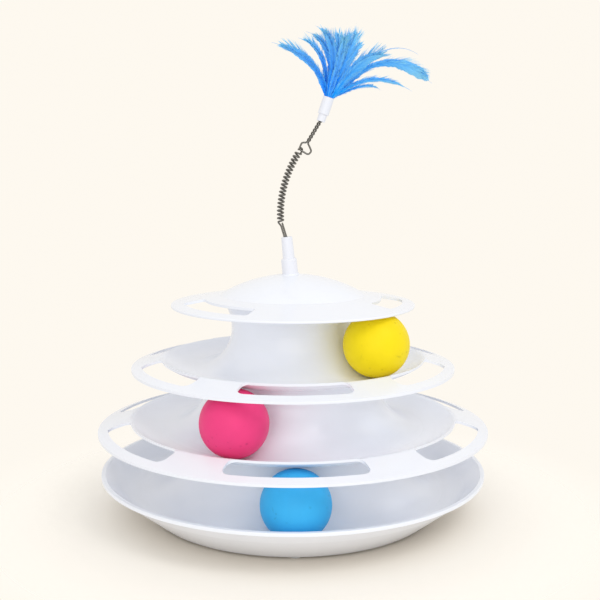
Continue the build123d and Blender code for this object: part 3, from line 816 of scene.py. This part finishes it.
@dataclass(frozen=True)
class FoamBall:
    """One ball: a sphere with shallow lumps, pits and nicks pressed into it."""

    node: str
    body: str
    slot: str
    seed: int
    cells: int = 92
    pits: int = 46
    pit_facing: float = 0.5
    lump: float = 0.06 * MM
    waves: int = 9
    wave_pace: float = 3.5
    pit_depth: float = 0.2 * MM
    pit_depths: tuple[float, float] = (0.2, 1.0)
    shallow_power: float = 1.5
    pit_size: float = 0.5 * MM
    pit_sizes: tuple[float, float] = (0.7, 1.3)
    pit_stretch: float = 1.1
    nick_share: float = 0.18
    nick_stretch: tuple[float, float] = (2.5, 5.0)

    def directions(self) -> Array:
        """Even directions on a sphere from six square faces, each warped by tan(pi u / 4).

        Returns:
            Six grids of directions.
        """
        step = np.tan(np.linspace(-1, 1, self.cells + 1) * pi / 4)
        u, v = np.meshgrid(step, step, indexing="ij")
        one = np.ones_like(u)
        faces = [
            np.roll(np.stack([s * one, s * u, v], axis=-1), k, axis=-1)
            for k in range(3)
            for s in (1, -1)
        ]
        return unit(np.stack(faces))

    def dents(self, way: Array, radius: float) -> tuple[Array, Array]:
        """Depth pressed into the sphere at each direction.

        A pit is depth exp(-(a/p)^2 - (b/q)^2), where a and b are the distances from its middle
        along and across it, and the lumps are a few slow waves.

        Args:
            way: Directions from the ball's centre.
            radius: The ball's radius.

        Returns:
            The depth in metres, and how far into a pit each point is, from nought to one.
        """
        rng = np.random.default_rng(self.seed)
        flat = way.reshape(-1, 3)
        middle = unit(rng.normal(size=(self.pits, 3)))
        along = unit(np.cross(middle, unit(rng.normal(size=(self.pits, 3)))))
        over = np.cross(middle, along)
        wide = self.pit_size * rng.uniform(*self.pit_sizes, self.pits)
        nicked = rng.random(self.pits) < self.nick_share
        long = wide * np.where(nicked, rng.uniform(*self.nick_stretch, self.pits), self.pit_stretch)
        depth = self.pit_depth * rng.uniform(*self.pit_depths, self.pits) ** self.shallow_power
        a = flat @ along.T * radius / long
        b = flat @ over.T * radius / wide
        facing = flat @ middle.T > self.pit_facing
        pit = np.where(facing, np.exp(-(a**2) - b**2), 0.0) @ depth
        waves = rng.normal(size=(self.waves, 3)) * self.wave_pace
        lumps = np.cos(flat @ waves.T + rng.uniform(0, tau, self.waves)).mean(axis=1)
        sunk = pit + self.lump * (lumps + 1) / 2
        return sunk.reshape(way.shape[:-1]), (pit / self.pit_depth).reshape(way.shape[:-1])

    def build(self, material: bpy.types.Material) -> None:
        """Make the ball in its node's place and dress it.

        Args:
            material: Its finish.
        """
        low, high = (np.array(corner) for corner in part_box(self.node))
        centre, radius = (low + high) / 2, (high[2] - low[2]) / 2
        way = self.directions()
        sunk, pit = self.dents(way, radius)
        points = centre + way * (radius - sunk)[..., None]
        ball = mesh_of(self.node.replace("_ball", "_foam_ball"), [Patch(points, values={"pit": pit})])
        dress(ball, material)
        stand_in(ball, self.body, self.slot, self.node)


@dataclass(frozen=True)
class Plume:
    """One feather's shape.

    Attributes:
        reach: How far its tip is out from the ferrule's axis, in millimetres.
        rise: How far its tip is above the ferrule's mouth, in millimetres.
        width: Width of its vane, in millimetres.
        splay: Angle at which it leaves the ferrule's axis, in degrees.
        crest: Height of its bend, as a share of its rise.
        turn: Turn of the vane about its rachis, in degrees.
        peak: Share of its length where it is widest.
        root: Width at the ferrule, as a share of the full width.
        fill: Barbs kept, as a share of a full vane.
        pale: How much paler than the others it is.
        taper: Share of its length over which its end narrows.
    """

    reach: float
    rise: float
    width: float
    splay: float
    crest: float
    turn: float = 0.0
    peak: float = 0.5
    root: float = 0.35
    fill: float = 1.0
    pale: float = 0.0
    taper: float = 0.3


PLUMES = (
    Plume(57.8, 28.6, 9.5, 20, 1.62, 5, 0.86, 0.7, taper=0.12),
    Plume(33.0, 16.0, 2.8, 44, 1.25, -18, 0.40, 1.0, fill=0.5),
    Plume(73.0, 50.5, 1.6, 26, 1.05, -30, 0.25, 0.9, fill=0.25),
    Plume(42.0, 45.5, 6.5, 23, 0.85, -62, 0.45, 1.0, taper=0.45),
    Plume(8.0, 43.5, 6.0, 6, 0.80, 80, 0.52, 0.8, taper=0.4),
    Plume(18.0, 42.0, 6.0, 5, 0.80, 55, 0.56, 0.8, taper=0.4),
    Plume(28.5, 41.0, 5.0, 5, 0.90, 35, 0.56, 0.9, taper=0.4),
    Plume(31.0, 29.0, 4.2, 14, 1.05, 14, 0.50, 1.0),
    Plume(45.0, 19.2, 6.8, 27, 1.20, -10, 0.68, 0.8, taper=0.4),
    Plume(32.5, 30.8, 5.5, 5, 1.08, -34, 0.54, 0.8, taper=0.4),
    Plume(33.0, 34.5, 6.5, 10, 0.95, -55, 0.62, 0.8),
    Plume(20.0, 36.0, 6.0, 12, 0.80, -80, 0.56, 0.8, pale=0.3),
    Plume(12.0, 42.0, 6.0, 12, 0.80, 66, 0.52, 0.8, taper=0.4),
    Plume(38.0, 32.6, 9.5, 23, 0.95, 44, 0.45, 0.9, pale=0.1),
    Plume(50.0, 18.2, 4.2, 34, 1.45, 22, 0.45, 1.0, fill=0.8),
)


@dataclass(frozen=True)
class Vane:
    """The closed web of a feather.

    Places and runs are shares of the rachis, and widths shares of the feather's own.
    """

    rows: int = 120
    columns: int = 17
    half_thickness: float = 0.12 * MM
    width_share: float = 0.74
    cup: float = 0.55
    peak_sharpness: float = 2.0
    start_width: float = 0.4
    start_run: float = 0.15
    root_run: float = 0.5
    end_place: float = 0.97
    edge_unevenness: float = 0.09
    edge_steps: int = 60
    streaks: int = 170
    streak_lead: float = 0.3
    streak_tone: float = 0.18
    edge_thinness: float = 0.6
    edge_thin_spread: float = 0.2
    end_thinness: float = 0.9
    thin_start: float = 0.7
    thin_run: float = 0.3


@dataclass(frozen=True)
class Barbs:
    """The loose barbs on each side of a feather.

    Places are shares of the rachis or, for the rings, of the barb; angles are in degrees.
    """

    count: int = 170
    width: float = 0.22 * MM
    half_thickness: float = 0.04 * MM
    ring_places: tuple[float, ...] = (0.0, 0.02, 0.25, 0.5, 0.75, 0.92, 1.0)
    ring_widths: tuple[float, ...] = (0.0, 0.8, 1.0, 0.9, 0.65, 0.3, 0.0)
    root_angle: float = 24.0
    tip_angle: float = 12.0
    clump_size: int = 7
    clump_lean: float = 8.0
    clump_length_spread: float = 0.4
    length_spread: float = 0.14
    shortest: float = 0.6 * MM
    longest: float = 15 * MM
    last_place: float = 0.9
    reach_limit: float = 0.985
    end_curl: float = 0.1
    clump_tone_spread: float = 0.7
    tone_spread: float = 0.12


@dataclass(frozen=True)
class Stem:
    """The quill in the ferrule and the rachis above it."""

    quill_r: float = 2.15 * MM
    quill_depth: float = 6.8 * MM
    quill_points: int = 8
    points: int = 44
    sides: int = 6
    radius: float = 0.33 * MM
    taper: float = 0.85
    fade: float = 0.5
    tone: float = 0.3


@dataclass(frozen=True)
class Feather:
    """One feather in its place about the ferrule's axis.

    Attributes:
        plume: Its shape.
        azimuth: Its place about the axis, in radians.
        sway: Sideways drift of its tip, in metres.
        rng: Its random numbers.
        mouth: Middle of the ferrule's mouth.
        lean: Lean of the ferrule's axis, in degrees.
        down_turn: Turn of the down about the rachis from the vane, in degrees.
        down_share: Width of the down, as a share of the vane's.
    """

    plume: Plume
    azimuth: float
    sway: float
    rng: np.random.Generator
    mouth: Array = field(default_factory=lambda: np.array((22.3829, 0.0, 263.5696)) * MM)
    lean: float = 18.8
    stem: Stem = Stem()
    vane: Vane = Vane()
    barbs: Barbs = Barbs()
    down_turn: float = 70.0
    down_share: float = 0.6

    @property
    def span(self) -> float:
        """Distance of the tip from the middle of the mouth."""
        return np.hypot(self.plume.reach, self.plume.rise) * MM

    def rachis(self, share: Array) -> tuple[Array, ...]:
        """The feather's middle line and the directions along and beside it.

        It is a curve (1-s)^2 A + 2 s (1-s) B + s^2 C in the half plane at its azimuth, from the
        mouth A over the bend B to the tip C, and it sways sideways by the square of the share.

        Args:
            share: Where along it, from nought at the mouth to one at the tip.

        Returns:
            Points, directions along, directions towards the hollow side, and face normals.
        """
        plume = self.plume
        up, side = tilted(self.lean)
        out = side * cos(self.azimuth) + Y_WAY * sin(self.azimuth)
        beside = np.cross(up, out)
        high = plume.crest * plume.rise * MM
        root = out * self.stem.quill_r
        bend = root + up * high + out * high * tan(radians(plume.splay))
        tip = out * plume.reach * MM + up * plume.rise * MM + beside * self.sway
        s = share[:, None]
        point = self.mouth + (1 - s) ** 2 * root + 2 * s * (1 - s) * bend + s**2 * tip
        along = unit((1 - s) * (bend - root) + s * (tip - bend))
        hollow = unit(np.cross(along, np.cross(out, up)))
        twist = radians(plume.turn)
        face = np.cross(along, hollow)
        broad = hollow * cos(twist) + face * sin(twist)
        return point, along, broad, np.cross(along, broad)

    def half_width(self, share: Array) -> Array:
        """Half the vane's width: a bump (s/p)^(c p) ((1-s)/(1-p))^(c (1-p)) on a root, with a fine tip.

        Args:
            share: Where along the rachis, the formula's s; p is the plume's peak.

        Returns:
            The half width in metres.
        """
        plume, vane = self.plume, self.vane
        peak, sharp = plume.peak, vane.peak_sharpness
        bump = (share / peak) ** (sharp * peak) * ((1 - share) / (1 - peak)) ** (sharp * (1 - peak))
        root = plume.root * (1 - smooth_step((share - vane.start_run) / vane.root_run))
        start = vane.start_width + (1 - vane.start_width) * smooth_step(share / vane.start_run)
        ends = start * smooth_step((1 - share) / plume.taper)
        return plume.width * MM / 2 * np.maximum(bump, root) * ends

    def rib(self) -> Patch:
        """The quill and the rachis.

        Returns:
            One closed tube that fines out towards the tip.
        """
        stem = self.stem
        share = np.linspace(0, 1, stem.points)
        point, _, broad, _ = self.rachis(share)
        quill_end = point[0] - tilted(self.lean)[0] * stem.quill_depth
        quill = line(quill_end, point[0], stem.quill_points)
        below = len(quill) - 1
        fining = stem.taper * np.concatenate([np.zeros(below), share])
        across = np.concatenate([np.tile(broad[0], (below, 1)), broad])
        grid = tube(joined([quill, point]), across, stem.radius * (1 - fining), stem.sides)
        along = np.concatenate([np.zeros(len(quill)), share, share[-1:]])
        values = {"tip": 0.0, "root": along[:, None] * stem.fade, "tone": stem.tone}
        return Patch(grid, close_columns=True, values=values)

    def blade(self) -> Patch:
        """The vane's closed body: a thin lens across the rachis with ragged edges.

        Its tone runs in streaks along the barbs: a random value of s - |c| w / tan(angle), where c
        goes from -1 to 1 across it.

        Returns:
            One grid, rows along the rachis and columns round the lens.
        """
        plume, vane, rng = self.plume, self.vane, self.rng
        share = np.linspace(0.0, vane.end_place, vane.rows)
        point, _, broad, face = self.rachis(share)
        half = self.half_width(share) * vane.width_share * plume.fill
        half[[0, -1]] = 0
        steps = np.linspace(0, 1, vane.edge_steps)
        ragged = np.stack([
            np.interp(share, steps, 1 + vane.edge_unevenness * rng.normal(size=vane.edge_steps))
            for _ in range(2)
        ])
        across = np.linspace(-1, 1, vane.columns)
        ring = np.concatenate([across, across[-2:0:-1]])
        flank = np.concatenate([np.ones(vane.columns), -np.ones(vane.columns - 2)])
        edge = np.where(ring > 0, ragged[0][:, None], ragged[1][:, None])
        offset = ring * half[:, None] * edge
        lift = flank * (1 - ring**2) * vane.half_thickness + vane.cup * half[:, None] * ring**2
        points = point[:, None] + broad[:, None] * offset[..., None] + face[:, None] * lift[..., None]
        streak = share[:, None] - np.abs(offset) / self.span / tan(radians(self.barbs.root_angle))
        steps = np.linspace(-vane.streak_lead, 1, vane.streaks)
        streaks = np.stack([
            np.interp(streak, steps, rng.normal(size=vane.streaks)) for _ in range(2)
        ])
        streak = np.where(ring > 0, streaks[0], streaks[1])
        tone = MID_TONE + vane.streak_tone * streak + plume.pale
        end = smooth_step((share[:, None] - vane.thin_start) / vane.thin_run)
        edge_thin = np.abs(ring) ** 3 * (vane.edge_thinness + vane.edge_thin_spread * streak)
        thin = np.maximum(edge_thin, vane.end_thinness * end)
        values = {"tip": np.clip(thin, 0, 1), "root": share[:, None], "tone": np.clip(tone, 0, 1)}
        return Patch(points[None], close_columns=True, values=values)

    def fringe(self, side: int) -> Patch:
        """The loose barbs on one side of the feather, each a thin four-sided spike.

        A barb at share s leaves the stem at an angle that falls from root to tip, is as long as
        the vane's half width there over that angle's sine, and curls towards the tip.

        Args:
            side: 1 for the hollow side, -1 for the back.

        Returns:
            All the barbs as one patch.
        """
        plume, barbs, rng = self.plume, self.barbs, self.rng
        count = int(barbs.count * plume.fill)
        share = np.sort(barbs.last_place * (np.arange(count) + rng.random(count)) / count)
        root, along, broad, face = self.rachis(share)
        window = np.ones(barbs.clump_size) / barbs.clump_size
        clump, bunch, lift = (
            np.convolve(rng.normal(size=count + barbs.clump_size - 1), window, "valid") for _ in range(3)
        )
        closing = (barbs.tip_angle - barbs.root_angle) * share
        angle = np.radians(barbs.root_angle + closing + barbs.clump_lean * clump)
        uneven = 1 + barbs.clump_length_spread * bunch + barbs.length_spread * rng.normal(size=count)
        length = self.half_width(share) / np.sin(angle) * uneven
        room = (barbs.reach_limit - share) * self.span
        length = np.clip(np.minimum(length, room), barbs.shortest, barbs.longest)
        q = np.array(barbs.ring_places)[None, :, None]
        ahead = along[:, None] * np.cos(angle)[:, None, None]
        aside = broad[:, None] * (side * np.sin(angle))[:, None, None]
        stray = face[:, None] * (self.vane.cup * np.sin(angle) * (1 + lift))[:, None, None] * q**2
        sweep = (ahead + aside) * q + stray - aside * barbs.end_curl * q**3
        spine = root[:, None] + length[:, None, None] * sweep
        flat_way = np.cross(face[:, None], unit(ahead + aside))
        taper = np.array(barbs.ring_widths)[None, :, None]
        half = flat_way * barbs.width / 2 * taper
        ridge = face[:, None] * barbs.half_thickness * taper
        points = np.stack([spine + half, spine + ridge, spine - half, spine - ridge], axis=2)
        uneven_tone = barbs.clump_tone_spread * bunch + barbs.tone_spread * rng.normal(size=count)
        tone = np.clip(MID_TONE + plume.pale + uneven_tone, 0, 1)
        values = {"tip": q, "root": share[:, None, None], "tone": tone[:, None, None]}
        return Patch(points, close_columns=True, values=values)

    def mesh(self, name: str) -> bpy.types.Object:
        """The whole feather: its rib, and its vane and down with their loose barbs.

        Args:
            name: The piece's name.

        Returns:
            The piece.
        """
        plume = self.plume
        narrow = replace(plume, turn=plume.turn + self.down_turn, width=plume.width * self.down_share)
        parts = (self, replace(self, plume=narrow))
        vanes = [part.blade() for part in parts]
        fringes = [part.fringe(side) for part in parts for side in (1, -1)]
        return mesh_of(name, [self.rib(), *vanes, *fringes])


@dataclass(frozen=True)
class FeatherBunch:
    """The feathers in the ferrule, a fixed angle apart about its axis."""

    pitch: float = 24.0
    tip_sway: float = 1.5 * MM
    seed: int = 41

    def build(self, material: bpy.types.Material) -> None:
        """Make every feather in its node's place and dress it.

        Args:
            material: Their finish.
        """
        for number, plume in enumerate(PLUMES):
            rng = np.random.default_rng(self.seed + number)
            feather = Feather(plume, radians(number * self.pitch), rng.normal() * self.tip_sway, rng)
            piece = feather.mesh(f"plume_{number + 1:02d}")
            dress(piece, material)
            stand_in(piece, "wand_tip", "blue_feather", f"feather_{number + 1:02d}")


@dataclass(frozen=True)
class Lamp:
    """A square soft lamp that points at the tower's middle."""

    name: str
    place: tuple[float, float, float]
    size: float
    power: float
    aim: tuple[float, float, float] = (0.0, 0.0, 0.12)

    def build(self) -> None:
        """Hang the lamp and turn it to its aim."""
        light = bpy.data.lights.new(self.name, "AREA")
        light.size, light.energy = self.size, self.power
        lamp = bpy.data.objects.new(self.name, light)
        bpy.context.scene.collection.objects.link(lamp)
        lamp.location = self.place
        way = Vector(self.aim) - Vector(self.place)
        lamp.rotation_euler = way.to_track_quat("-Z", "Y").to_euler()


LAMPS = (
    Lamp("key", (0.5, -0.6, 0.95), 0.4, 2.0),
    Lamp("front", (-0.12, -1.2, 0.45), 0.9, 2.9),
    Lamp("top", (0.0, 0.05, 1.2), 0.9, 0.2),
)


@dataclass(frozen=True)
class Stage:
    """Pale floor, even background, soft lamps and the camera."""

    ambient: float = 0.81
    floor_radius: float = 1.4
    floor_rings: int = 40
    floor_spokes: int = 96
    camera_place: tuple[float, float, float] = (0.0, -0.6197, 0.2209)
    camera_pitch: float = 82.2
    focal_pixels: float = 974.4
    frame_pixels: float = 600.0
    axis_pixel: float = 292.9
    sensor: float = 36.0

    def world(self) -> None:
        """Background: cream where it is seen or mirrored, a plain soft light elsewhere."""
        world = bpy.data.worlds.new("studio")
        bpy.context.scene.world = world
        world.use_nodes = True
        sheet = NodeSheet(world.node_tree)
        seen = [
            sheet.node("ShaderNodeLightPath", output=ray)
            for ray in ("Is Camera Ray", "Is Glossy Ray", "Is Transmission Ray")
        ]
        factor = (seen[0] + seen[1] + seen[2]).least(1.0)
        white = rgba((1.0, 1.0, 1.0))
        light = sheet.node("ShaderNodeBackground", inputs={"Color": white, "Strength": self.ambient})
        shown = sheet.node("ShaderNodeBackground", inputs={"Color": rgba(CREAM), "Strength": 1.0})
        both = sheet.node("ShaderNodeMixShader", inputs={0: factor, 1: light, 2: shown})
        sheet.output(both, "ShaderNodeOutputWorld")

    def floor(self) -> None:
        """A round floor that fades into the background away from the tower."""
        ring = np.linspace(0, 1, self.floor_rings)[:, None] * self.floor_radius
        angle = np.linspace(0, tau, self.floor_spokes, endpoint=False)[None]
        points = np.stack([ring * np.cos(angle), ring * np.sin(angle), 0 * ring * angle], axis=-1)
        floor = mesh_of("floor", [Patch(points[None], close_columns=True)])
        dress(floor, PaleFloor().material())

    def camera(self) -> None:
        """The camera at the photograph's place, angle and framing."""
        lens = bpy.data.cameras.new("view")
        lens.sensor_width = self.sensor
        lens.lens = self.focal_pixels / self.frame_pixels * self.sensor
        lens.shift_x = 0.5 - self.axis_pixel / self.frame_pixels
        view = bpy.data.objects.new("view", lens)
        bpy.context.scene.collection.objects.link(view)
        view.location = self.camera_place
        view.rotation_euler = (radians(self.camera_pitch), 0.0, 0.0)
        bpy.context.scene.camera = view

    def build(self) -> None:
        """Set the whole stage."""
        bpy.context.scene.view_settings.view_transform = "Standard"
        self.world()
        self.floor()
        for lamp in LAMPS:
            lamp.build()
        self.camera()


def mouldings() -> None:
    """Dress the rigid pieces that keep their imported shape."""
    wand_plastic = MouldedPlastic("wand_plastic", colour=(0.85, 0.86, 0.915), gloss=0.34)
    for finish, nodes in (
        (MouldedPlastic("tower_plastic"), ("base_tray", "lower_track", "upper_track", "top_cap")),
        (wand_plastic, ("wand_socket", "wand_sleeve", "feather_ferrule")),
        (PadRubber(), ("floor_pads",)),
    ):
        material = finish.material()
        for node in nodes:
            dress(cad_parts[node], material)
            LOG.info("%s dressed in %s", node, material.name)


def main() -> None:
    """Build the stage and every piece."""
    logging.basicConfig(level=logging.INFO, format="%(message)s")
    Stage().build()
    mouldings()
    for node, body, slot, tint, seed in (
        ("blue_ball", "ball_in_base", "blue_foam", Tint.BLUE, 5),
        ("pink_ball", "ball_in_lower", "pink_foam", Tint.PINK, 12),
        ("yellow_ball", "ball_in_upper", "yellow_foam", Tint.YELLOW, 23),
    ):
        FoamBall(node, body, slot, seed).build(FoamRubber(slot, tint).material())
    wand, steel = Wand(), DrawnSteel().material()
    spring = wand.spring()
    dress(spring, steel)
    wand.coil_end
    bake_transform(spring)
    stand_in(spring, None, "steel_wire", "spring_wire")
    hook = Hanger(wand).wire()
    dress(hook, steel)
    stand_in(hook, "wand_tip", "steel_wire", "hanger_wire")
    FeatherBunch().build(DyedFeather().material())


if __name__ == "__main__":
    main()
